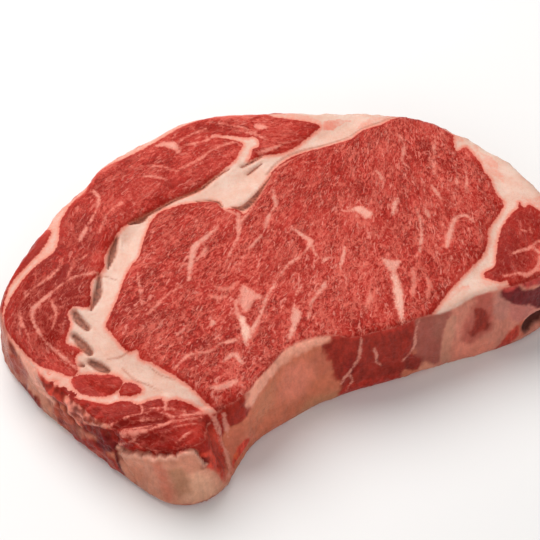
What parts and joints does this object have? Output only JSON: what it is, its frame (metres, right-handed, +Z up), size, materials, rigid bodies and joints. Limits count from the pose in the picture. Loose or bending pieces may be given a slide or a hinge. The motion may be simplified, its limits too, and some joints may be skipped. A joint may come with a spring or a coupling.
{
  "type": "raw ribeye steak",
  "caption": "Thick raw beef ribeye slice with a marbled eye muscle, a cap muscle, fat seams and a folded tail, lying on its cut face.",
  "frame": {"origin": "under the middle of the slice's box, on the face that it rests on", "axes": "+X along the slice from the cap muscle to the rib end, +Y to the back edge away from the tail, +Z up out of the shown cut face"},
  "size_m": [0.197, 0.154, 0.0315],
  "materials": {
    "raw_beef": "moist raw beef: red muscle flecked with pink fat, cream-pink fat seams"
  },
  "bodies": {
    "root": {"steak": "raw_beef"}
  },
  "joints": []
}
